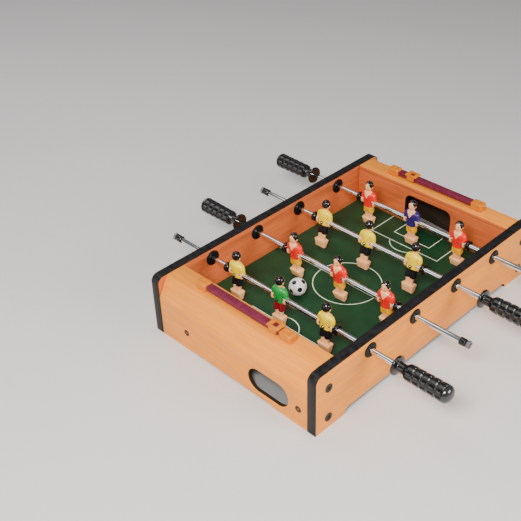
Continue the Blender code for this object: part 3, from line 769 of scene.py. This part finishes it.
BUSH_BARREL = 4.8
BUSH_INNER = 8.3
BUSH_OUTER = 7.8
BUSH_FLANGE = 1.3
TUBE_RADIUS = half_size("rod1_tube").x / MM
TUBE_WALL = 0.6
BORE = TUBE_RADIUS + 0.12
HANDLE_LENGTH = 59.0
HANDLE_FLANGE = (9.7, 2.5)
NECK = (5.0, 10.5)
SHOULDER = 3.2
GRIP_RADII = (8.0, 8.7)
PAD_ROWS = 5
PADS_ROUND = 8
PAD_HEIGHT = 1.3
DOME_LENGTH = 6.0
GRIP_STEPS = 110
SCREW_DEPTH = 0.9


def bush_mesh():
    thickness = PANEL_THICKNESS / MM
    outer = thickness + BUSH_FLANGE
    inner = -BUSH_FLANGE
    profile = [
        (BORE + 0.15, inner + 0.5),
        (BORE + 0.15, outer - 0.5),
        (BORE + 0.55, outer),
        (BUSH_OUTER - 1.3, outer),
        (BUSH_OUTER - 0.9, outer - 0.25),
        (BUSH_OUTER, outer - 0.5),
        (BUSH_OUTER, thickness + 0.02),
        (BUSH_BARREL - 0.1, thickness + 0.02),
        (BUSH_BARREL - 0.1, -0.02),
        (BUSH_INNER, -0.02),
        (BUSH_INNER, inner + 0.5),
        (BUSH_INNER - 0.9, inner + 0.25),
        (BUSH_INNER - 1.3, inner),
        (BORE + 0.55, inner),
    ]
    rounded = filleted([*profile, profile[0]], 0.25, 3)
    return finished_mesh("bush", turned(rounded), (bush_plastic,))


def ring_mesh():
    half = 1.8
    profile = [(BORE, 0), (BORE, half), (5.3, half), (5.3, -half), (BORE, -half), (BORE, 0)]
    return finished_mesh("ring", turned(filleted(profile, 0.8, 5), steps=48), (black,))


def tube_mesh(node):
    half = half_size(node).y / MM
    inner = TUBE_RADIUS - TUBE_WALL
    profile = [(TUBE_RADIUS, 0), (TUBE_RADIUS, -half), (inner, -half), (inner, half), (TUBE_RADIUS, half),
               (TUBE_RADIUS, 0)]
    return finished_mesh("tube", turned(filleted(profile, 0.2, 2), steps=48), (chrome,))


def cap_mesh(length):
    """The plug on a bare end: a black collar with a waist, then a clear grey tip with a hollow face."""
    profile = [
        (3.8, 0),
        (3.8, 0.52 * length),
        (3.45, 0.56 * length),
        (3.45, 0.66 * length),
        (3.7, 0.70 * length),
        (4.0, length - 0.3),
        (3.4, length),
        (2.6, length - 0.2),
        (2.3, length - 1.6),
        (0, length - 1.6),
    ]
    tip = 0.80 * length
    shape = turned([*filleted(profile[:-1], 0.3, 3), profile[-1]], steps=48,
                   material_at=lambda radius, height: 1 if height > tip else 0)
    close_base(shape)
    return finished_mesh("cap", shape, (black, tip_plastic))


def smooth_step(value, start, end):
    share = min(1.0, max(0.0, (value - start) / (end - start)))
    return share * share * (3 - 2 * share)


def handle_mesh():
    """A flange, a slim neck and a grip of raised pads between grooves, with a plain domed tip."""
    flange_radius, flange_length = HANDLE_FLANGE
    neck_radius, neck_length = NECK
    grip_start = flange_length + neck_length
    grip_end = HANDLE_LENGTH - DOME_LENGTH
    row_length = (grip_end - grip_start) / PAD_ROWS
    profile = filleted([
        (0, 0),
        (flange_radius - 0.2, 0),
        (flange_radius, 0.6),
        (flange_radius, flange_length - 0.8),
        (flange_radius - 0.6, flange_length),
        (neck_radius + 0.2, flange_length + 0.6),
        (neck_radius, flange_length + 2.2),
        (neck_radius, grip_start - SHOULDER),
        (GRIP_RADII[0] - 0.5, grip_start - 0.2),
    ], 0.9, 4)
    for step in range(GRIP_STEPS + 1):
        share = step / GRIP_STEPS
        height = grip_start + share * (grip_end - grip_start)
        profile.append((GRIP_RADII[0] + share * (GRIP_RADII[1] - GRIP_RADII[0]), height))
    for radius, height in arc((0, 0), 1.0, 0, 90, 14)[1:]:
        profile.append((max(0.0, radius) * GRIP_RADII[1], grip_end + height * DOME_LENGTH))

    def grooved(radius, height, angle):
        if height < grip_start - 0.05 or height > grip_end + 0.6 or radius == 0:
            return radius
        around = abs((angle * PADS_ROUND / (2 * math.pi)) % 1.0 - 0.5)
        half_angle = (0.5 - around) * 2 * math.pi / PADS_ROUND * radius
        along = (height - grip_start) % row_length
        edge = min(along, row_length - along)
        if height > grip_end:
            edge = 0.0
        pad = smooth_step(half_angle, 0.25, 1.5) * smooth_step(edge, 0.30, 1.7)
        return radius - PAD_HEIGHT * (1 - pad)

    dome = grip_end + 0.8
    shape = turned(profile, steps=144, radius_at=grooved,
                   material_at=lambda radius, height: 1 if height > dome else 0)
    return finished_mesh("handle", shape, (grip_plastic, grip_dome))


def screw_mesh(radius):
    """A round head with a sunk cross, its top at zero and facing +Z; the thin dark washer round it is made
    apart.
    """
    profile = [(radius, -SCREW_DEPTH), (radius, -0.25), (radius * 0.86, 0), (radius * 0.5, 0.12), (0, 0.14)]
    shape = turned(filleted(profile, 0.2, 3), steps=40)
    close_base(shape)
    arm, thin, deep = radius * 0.62 * MM, radius * 0.13 * MM, 0.45 * MM
    slots = [box_shape((-x, -y, -deep), (x, y, 0.002)) for x, y in ((arm, thin), (thin, arm))]
    shape = cut_mesh(shape, slots)
    return finished_mesh("screw", shape, (screw_black,))


def washer_mesh(radius):
    inner, outer = radius * 0.8, radius * 1.3
    profile = [(inner, 0), (inner, 0.12), (radius * 1.22, 0.14), (outer, 0), (outer, -0.5), (inner, -0.5),
               (inner, 0)]
    return finished_mesh("washer", turned(filleted(profile, 0.1, 2), steps=40), (screw_black,))


PANEL_SCREW_X = 0.153
PANEL_SCREW_HEIGHTS = (0.048, 0.013)
END_SCREWS = ((0.0615, 0.0216), (-0.0889, 0.0201))


def build_screws():
    big, small = screw_mesh(3.4), screw_mesh(2.7)
    big_ring, small_ring = washer_mesh(3.5), washer_mesh(2.7)
    panel_face = HALF_WIDTH + 0.0004
    end_face = -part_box("end_cover_left")[0].x + 0.00014
    for side, direction, lie in LONG_SIDES:
        for column, x in (("left", -PANEL_SCREW_X), ("right", PANEL_SCREW_X)):
            for row, z in zip(("upper", "lower"), PANEL_SCREW_HEIGHTS):
                place = Matrix.Translation((x, direction * panel_face, z)) @ lie
                for name, mesh in (("screw", big), ("screw_ring", big_ring)):
                    piece(f"{name}_{side}_{column}_{row}", mesh, "cabinet", (), place)
    for side, hand, turn in ENDS:
        for index, (y, z) in enumerate(END_SCREWS):
            lie = Matrix.Rotation(-QUARTER_TURN, 4, "Y")
            place = turn @ Matrix.Translation((-end_face, hand * y, z)) @ lie
            for name, mesh in (("screw", small), ("screw_ring", small_ring)):
                piece(f"{name}_end_{side}_{index + 1}", mesh, "cabinet", (), place)


# Figures, in millimetres from the rod's axis, facing +X

WIRE_STEPS = 8


def smooth_rows(rows, steps):
    """Rows of numbers joined by a smooth curve through all of them."""
    result = []
    for index in range(len(rows) - 1):
        before = rows[max(0, index - 1)]
        start, end = rows[index], rows[index + 1]
        after = rows[min(len(rows) - 1, index + 2)]
        for step in range(steps):
            t = step / steps
            result.append([
                b + ((c - a) * t + (2 * a - 5 * b + 4 * c - d) * t ** 2 + (3 * b - a - 3 * c + d) * t ** 3) / 2
                for a, b, c, d in zip(before, start, end, after)
            ])
    result.append(list(rows[-1]))
    return result


def cover_rings(shape, rings, material):
    """Faces between each ring of points and the next, and across both ends."""
    count = len(rings[0])
    faces = []
    for lower, upper in zip(rings, rings[1:]):
        for step in range(count):
            after = (step + 1) % count
            faces.append(shape.faces.new((lower[step], lower[after], upper[after], upper[step])))
    faces.append(shape.faces.new(rings[0][::-1]))
    faces.append(shape.faces.new(rings[-1]))
    for face in faces:
        face.material_index = material


def add_stack(shape, rows, material, steps=4, count=32, bend=None):
    """A closed body of level rings: each row is (z, x, y, half depth, half width, squareness)."""
    rings = []
    for z, x, y, depth, width, power in smooth_rows(rows, steps):
        ring = []
        for step in range(count):
            angle = 2 * math.pi * (step + 0.5) / count
            cosine, sine = math.cos(angle), math.sin(angle)
            point = Vector((
                x + depth * math.copysign(abs(cosine) ** (2 / power), cosine),
                y + width * math.copysign(abs(sine) ** (2 / power), sine),
                z,
            ))
            if bend:
                point = bend(point)
            ring.append(shape.verts.new(point * MM))
        rings.append(ring)
    cover_rings(shape, rings, material)


def add_ball(shape, centre, radii, material, segments=24, change=None):
    made = bmesh.ops.create_uvsphere(shape, u_segments=segments, v_segments=segments * 2 // 3, radius=1.0)
    for vert in made["verts"]:
        point = vert.co.copy()
        scale = change(point) if change else 1.0
        vert.co = (Vector(centre) + Vector(a * b * scale for a, b in zip(radii, point))) * MM
    for face in {face for vert in made["verts"] for face in vert.link_faces}:
        face.material_index = material


def add_wire(shape, points, radius, material):
    """A thin closed bead through the points, in millimetres."""
    path = [Vector(point) for point in points]
    rings = []
    for index, point in enumerate(path):
        along = (path[min(index + 1, len(path) - 1)] - path[max(index - 1, 0)]).normalized()
        side = along.cross(Vector((1, 0, 0.3))).normalized()
        over = along.cross(side)
        ring = []
        for step in range(WIRE_STEPS):
            angle = 2 * math.pi * step / WIRE_STEPS
            offset = side * math.cos(angle) + over * math.sin(angle)
            ring.append(shape.verts.new((point + offset * radius) * MM))
        rings.append(ring)
    cover_rings(shape, rings, material)


SHIRT_ROWS = [
    (-5.4, 0, 0, 3.6, 5.2, 2.6),
    (-5.2, 0, 0, 4.25, 6.0, 2.7),
    (-4.0, 0, 0, 4.35, 6.0, 2.7),
    (0.0, 0, 0, 4.4, 6.0, 2.6),
    (4.5, 0.1, 0, 4.7, 6.8, 2.5),
    (8.5, 0, 0, 4.6, 7.2, 2.5),
    (11.0, -0.1, 0, 3.9, 6.3, 2.3),
    (12.6, -0.2, 0, 2.9, 3.9, 2.0),
    (13.2, -0.2, 0, 2.3, 2.6, 2.0),
]
SLEEVE_ROWS = [
    (2.2, 0.2, 8.0, 1.9, 1.2, 2.2),
    (2.4, 0.2, 8.0, 2.8, 1.8, 2.2),
    (4.0, 0.2, 7.9, 3.0, 1.95, 2.2),
    (7.0, 0, 7.2, 3.2, 2.3, 2.2),
    (9.8, -0.1, 6.2, 3.1, 2.2, 2.0),
    (11.4, -0.1, 5.2, 2.1, 1.6, 2.0),
    (12.0, -0.1, 4.8, 0.8, 0.7, 2.0),
]
FOREARM_ROWS = [
    (-4.7, 0.1, 7.9, 0.7, 0.6, 2.0),
    (-4.2, 0.1, 7.9, 2.3, 1.3, 2.4),
    (-2.4, 0.1, 7.95, 3.5, 1.65, 2.6),
    (0.0, 0.1, 8.0, 3.8, 1.65, 2.6),
    (2.0, 0.2, 8.0, 3.3, 1.6, 2.4),
    (4.2, 0.2, 7.9, 2.2, 1.5, 2.2),
    (6.0, 0.1, 7.6, 1.8, 1.2, 2.0),
]
SHORTS_ROWS = [
    (-11.6, 0, 0, 3.2, 5.2, 2.4),
    (-11.3, 0, 0, 3.9, 5.9, 2.5),
    (-8.0, 0, 0, 4.1, 6.0, 2.6),
    (-3.0, 0, 0, 3.9, 5.7, 2.6),
]
SHORTS_LEG_ROWS = [
    (-14.4, 0, 3.0, 3.1, 2.5, 2.3),
    (-14.2, 0, 3.0, 3.8, 3.15, 2.3),
    (-11.5, 0, 3.0, 3.95, 3.15, 2.3),
    (-8.0, 0, 2.8, 3.8, 3.0, 2.3),
]
LEG_ROWS = [
    (-23.0, 0, 2.5, 3.0, 2.4, 2.2),
    (-21.8, 0, 2.4, 2.8, 2.2, 2.2),
    (-19.0, 0, 2.25, 2.7, 2.15, 2.1),
    (-16.0, 0, 2.35, 3.0, 2.3, 2.1),
    (-13.0, 0, 2.4, 3.0, 2.3, 2.1),
]
FOOT_ROWS = [
    (-31.3, 0.1, 0, 1.7, 6.0, 7.0),
    (-31.1, 0.1, 0, 2.1, 6.4, 8.0),
    (-30.6, 0.1, 0, 2.3, 6.5, 9.0),
    (-27.0, 0.1, 0, 3.2, 6.75, 9.0),
    (-22.9, 0.1, 0, 4.4, 7.1, 9.0),
    (-22.4, 0.1, 0, 4.3, 7.0, 9.0),
    (-22.0, 0.1, 0, 3.8, 6.5, 7.0),
]
NECK_ROWS = [(10.0, -0.1, 0, 2.6, 2.9, 2.0), (13.2, -0.2, 0, 2.2, 2.4, 2.0), (16.5, -0.1, 0, 2.3, 2.4, 2.0)]
SKIN_SLOT, HAIR_SLOT, SHIRT_SLOT, SHORTS_SLOT, DARK_SLOT, STEEL_SLOT = range(6)


def face_change(point):
    """Small swells and dents of a plain face on the unit head: nose, brow and chin, with hollows for the eyes
    and mouth.
    """
    x, y, z = point
    if x < 0:
        return 1.0
    nose = 0.17 * math.exp(-((y / 0.16) ** 2) - ((z + 0.10) / 0.20) ** 2)
    brow = 0.03 * math.exp(-((z - 0.22) / 0.10) ** 2) * (abs(y) < 0.75)
    chin = 0.06 * math.exp(-((y / 0.35) ** 2) - ((z + 0.78) / 0.18) ** 2)
    eyes = -0.05 * math.exp(-(((abs(y) - 0.36) / 0.16) ** 2) - ((z - 0.06) / 0.10) ** 2)
    mouth = -0.03 * math.exp(-((y / 0.30) ** 2) - ((z + 0.48) / 0.05) ** 2)
    return 1.0 + nose + brow + chin + eyes + mouth


def hair_change(point):
    """Combed ridges that run back from the brow."""
    _, y, z = point
    return 1.0 + 0.012 * math.sin(26 * y + 3 * z) - 0.012


def lower_front_hem(point):
    """The shirt hangs lower at the front than at the back."""
    share = min(1.0, max(0.0, -point.z / 4.0))
    return Vector((point.x, point.y, point.z - 0.33 * point.x * share))


LIMBS = ((SLEEVE_ROWS, SHIRT_SLOT), (FOREARM_ROWS, SKIN_SLOT), (SHORTS_LEG_ROWS, SHORTS_SLOT),
         (LEG_ROWS, SKIN_SLOT))

# An ear, an eye and a brow, on each side of the head: centre, radii and material
HEAD_DETAILS = (
    ((-0.3, 4.3, 18.0), (0.9, 0.45, 1.3), SKIN_SLOT),
    ((3.95, 1.5, 19.2), (0.35, 0.55, 0.32), DARK_SLOT),
    ((3.95, 1.55, 20.3), (0.35, 0.85, 0.18), DARK_SLOT),
)


def figure_mesh():
    shape = bmesh.new()
    add_stack(shape, SHIRT_ROWS, SHIRT_SLOT, bend=lower_front_hem)
    for direction in (-1, 1):
        for rows, slot in LIMBS:
            side = [(z, x, direction * y, *rest) for z, x, y, *rest in rows]
            add_stack(shape, side, slot, count=24)
    add_stack(shape, SHORTS_ROWS, SHORTS_SLOT)
    add_stack(shape, FOOT_ROWS, SKIN_SLOT, steps=1, count=48)
    add_stack(shape, NECK_ROWS, SKIN_SLOT, count=24)
    add_ball(shape, (0.15, 0, 18.6), (4.3, 4.15, 5.6), SKIN_SLOT, 48, face_change)
    add_ball(shape, (-0.62, 0, 19.5), (4.6, 4.7, 5.3), HAIR_SLOT, 48, hair_change)
    for direction in (-1, 1):
        for (x, y, z), radii, slot in HEAD_DETAILS:
            add_ball(shape, (x, direction * y, z), radii, slot, 12)
    collar = []
    for step in range(13):
        y = -4.0 + 8.0 * step / 12
        z = NECK_POINT + abs(y) * NECK_SLOPE
        depth = 4.72 - max(0.0, z - 7.5) * 0.30 - 0.040 * y * y
        collar.append((depth, y, z))
    add_wire(shape, collar, 0.28, SHIRT_SLOT)
    # A near-black disc round the steel screw head at the back: painted shade standing for the screw's recess.
    recess_shade_rows = [(-5.0, 0, 0, 1.6, 1.6, 2.0), (-4.9, 0, 0, 1.9, 1.9, 2.0), (-3.0, 0, 0, 2.0, 2.0, 2.0)]
    screw = bmesh.new()
    add_stack(screw, recess_shade_rows, DARK_SLOT, 2, 24)
    add_ball(screw, (0, 0, -4.95), (1.15, 1.15, 0.45), STEEL_SLOT, 16)
    bmesh.ops.rotate(screw, cent=(0, 0, 0), matrix=Matrix.Rotation(QUARTER_TURN, 3, "Y"), verts=screw.verts)
    bmesh.ops.translate(screw, vec=(0, 0, -0.0014), verts=screw.verts)
    join(shape, screw)
    return finished_mesh("figure", shape, (None,) * 6)


def foot_swing(node, axis, direction):
    """How far a figure's feet swing to its front, from the CAD foot's lowest edge, in radians."""
    far = sorted(((v.co - axis).xz.length, (v.co - axis).xz) for v in frame["nodes"][node].data.vertices
                 if v.co.z < axis.z)[-8:]
    foot = sum((offset for _, offset in far), Vector((0, 0)))
    return math.atan2(direction * foot.x, -foot.y)


def build_rods():
    bush, ring, handle, figure = bush_mesh(), ring_mesh(), handle_mesh(), figure_mesh()
    shirts = {
        "yellow_shirt": (shirt_paint("yellow_shirt_paint", YELLOW), plastic("black_shorts", SHORTS_BLACK)),
        "red_shirt": (shirt_paint("red_shirt_paint", RED), plastic("yellow_shorts", SHORTS_YELLOW)),
        "green_shirt": (shirt_paint("green_shirt_paint", GREEN), plastic("red_shorts", SHORTS_RED)),
        "purple_shirt": (shirt_paint("purple_shirt_paint", PURPLE), plastic("amber_shorts", SHORTS_YELLOW)),
    }
    slots = {part["node"]: part["material_slot"] for part in frame["record"]["subparts"]}
    for number in range(1, 5):
        rod = f"rod{number}"
        tube = f"{rod}_tube"
        axis = centre_of(tube)
        for side, direction, lie in LONG_SIDES:
            place = Matrix.Translation((axis.x, direction * (HALF_WIDTH - PANEL_THICKNESS), axis.z)) @ lie
            piece(f"{rod}_bushing_{side}", bush, "cabinet", (f"{rod}_bush_{side}",), place)
            node = f"{rod}_bumper_{side}"
            place = Matrix.Translation(centre_of(node)) @ TOWARDS_BACK
            piece(f"{rod}_stop_{side}", ring, f"{rod}_bumpers", (node,), place)
        place = Matrix.Translation(axis) @ TOWARDS_BACK
        piece(f"{rod}_bar", tube_mesh(tube), rod, (tube,), place)
        plug = cap_mesh(2 * half_size(f"{rod}_end_cap").y / MM)
        for name, mesh, node in (("grip", handle, f"{rod}_handle"), ("plug", plug, f"{rod}_end_cap")):
            low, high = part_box(node)
            start, lie = (high.y, TOWARDS_FRONT) if high.y < axis.y else (low.y, TOWARDS_BACK)
            place = Matrix.Translation((axis.x, start, axis.z)) @ lie
            piece(f"{rod}_{name}", mesh, rod, (node,), place)
        facing = math.pi * (number % 2 == 0)
        for spot in ("back", "middle", "front"):
            node = f"{rod}_player_{spot}"
            swing = foot_swing(node, axis, -1 if facing else 1)
            turn = Matrix.Rotation(facing, 4, "Z") @ Matrix.Rotation(-swing, 4, "Y")
            place = Matrix.Translation((axis.x, centre_of(node).y, axis.z)) @ turn
            man = piece(f"{rod}_figure_{spot}", figure, rod, (node,), place)
            shirt, shorts = shirts[slots[node]]
            for slot, material in zip(man.material_slots, (skin, hair, shirt, shorts, black, figure_screw)):
                slot.link = "OBJECT"
                slot.material = material


# Scorers

SCORE_STEPS = 10
SCORE_MARGIN = 0.0073
SCORE_MARK_REACH = 0.0022
SCORE_MARK_HALF = 0.00022
SLIDER_PLATE = 0.0018
SLIDER_WINDOW_HALF = 0.0031
SLIDER_SKIRT_INSIDE = 0.0043
SLIDER_SKIRT_HALF = 0.00475


def scorer_block_mesh():
    half = half_size("scorer_block_left_front")
    shape = box_shape(-half, half)
    soften(shape, 0.0017, 5)
    dimple = turned([(0, -0.7), (1.2, -0.6), (1.9, -0.1), (2.1, 0.6), (2.1, 3), (0, 3)], steps=40)
    bmesh.ops.translate(dimple, vec=(0, 0, half.z), verts=dimple.verts)
    return finished_mesh("scorer_block", cut_mesh(shape, (dimple,)), (amber,))


def scorer_bar_mesh():
    half = half_size("scorer_bar_left")
    shape = box_shape(-half, half)
    soften(shape, 0.0005, 3)
    for index in range(SCORE_STEPS + 1):
        y = (index / SCORE_STEPS - 0.5) * 2 * (half.y - SCORE_MARGIN)
        low = (-SCORE_MARK_REACH, y - SCORE_MARK_HALF, half.z - 0.0001)
        high = (SCORE_MARK_REACH, y + SCORE_MARK_HALF, half.z + 0.00012)
        join(shape, box_shape(low, high))
    return finished_mesh("scorer_bar", shape, (maroon,))


def slider_mesh():
    """A plate with rounded edges and a square window cut through it, and a narrower skirt down each side."""
    high = half_size("scorer_slider_left")
    shape = box_shape((-high.x, -high.y, high.z - SLIDER_PLATE), high)
    soften(shape, 0.0005, 3)
    half = SLIDER_WINDOW_HALF
    window = box_shape((-half, -half, high.z - 0.004), (half, half, high.z + 0.002))
    shape = cut_mesh(shape, (window,))
    for direction in (-1, 1):
        side = sorted((direction * SLIDER_SKIRT_INSIDE, direction * (high.x - 0.0002)))
        skirt = box_shape((side[0], -SLIDER_SKIRT_HALF, -high.z),
                          (side[1], SLIDER_SKIRT_HALF, high.z - SLIDER_PLATE / 2))
        soften(skirt, 0.0003, 2)
        join(shape, skirt)
    return finished_mesh("slider", shape, (amber,))


def build_scorers():
    block, bar, slider = scorer_block_mesh(), scorer_bar_mesh(), slider_mesh()
    for side in ("left", "right"):
        for name, mesh, body, node, slot in (
                (f"end_{side}_front", block, "cabinet", f"block_{side}_front", "amber_plastic"),
                (f"end_{side}_back", block, "cabinet", f"block_{side}_back", "amber_plastic"),
                (f"rail_{side}", bar, "cabinet", f"bar_{side}", "maroon_plastic"),
                (f"marker_{side}", slider, f"score_marker_{side}", f"slider_{side}", "amber_plastic")):
            node = f"scorer_{node}"
            piece(f"scorer_{name}", mesh, body, (node,), Matrix.Translation(centre_of(node)))


# Ball

SEAM_DEPTH = 0.018
SEAM_SPREAD = 0.012


def build_ball():
    """Twelve black five-sided patches and twenty white six-sided ones, with sunk seams."""
    low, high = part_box("ball")
    radius = (high.x - low.x) / 2
    shape = bmesh.new()
    bmesh.ops.create_icosphere(shape, subdivisions=1, radius=1.0)
    third = next(iter(shape.edges)).calc_length() / 3
    bmesh.ops.bevel(shape, geom=shape.verts[:], offset=third, segments=1, affect="VERTICES")
    planes = []
    for face in shape.faces:
        centre = face.calc_center_median()
        planes.append((centre.normalized(), centre.length))
        face.material_index = 1 if len(face.verts) == 5 else 0
    inset = bmesh.ops.inset_individual(shape, faces=shape.faces[:], thickness=0.030)
    for face in inset["faces"]:
        face.material_index = 0
    bmesh.ops.poke(shape, faces=[face for face in shape.faces if len(face.verts) > 4])
    bmesh.ops.subdivide_edges(shape, edges=shape.edges[:], cuts=3, use_grid_fill=True)
    for vert in shape.verts:
        direction = vert.co.normalized()
        reach = sorted((direction.dot(normal) / distance for normal, distance in planes), reverse=True)
        depth = SEAM_DEPTH * math.exp(-((reach[0] - reach[1]) / SEAM_SPREAD) ** 2)
        vert.co = direction * radius * (1 - depth)
    turn = Matrix.Rotation(math.radians(35), 4, "X") @ Matrix.Rotation(math.radians(20), 4, "Y")
    mesh = finished_mesh("ball", shape, (ball_white, ball_black))
    mesh.set_sharp_from_angle(angle=math.pi)
    piece("game_ball", mesh, "ball", ("ball",), Matrix.Translation((low + high) / 2) @ turn)


build_camera()
build_lights()
build_stage()
build_side_panels()
build_ends()
build_pitch()
build_screws()
build_rods()
build_scorers()
build_ball()
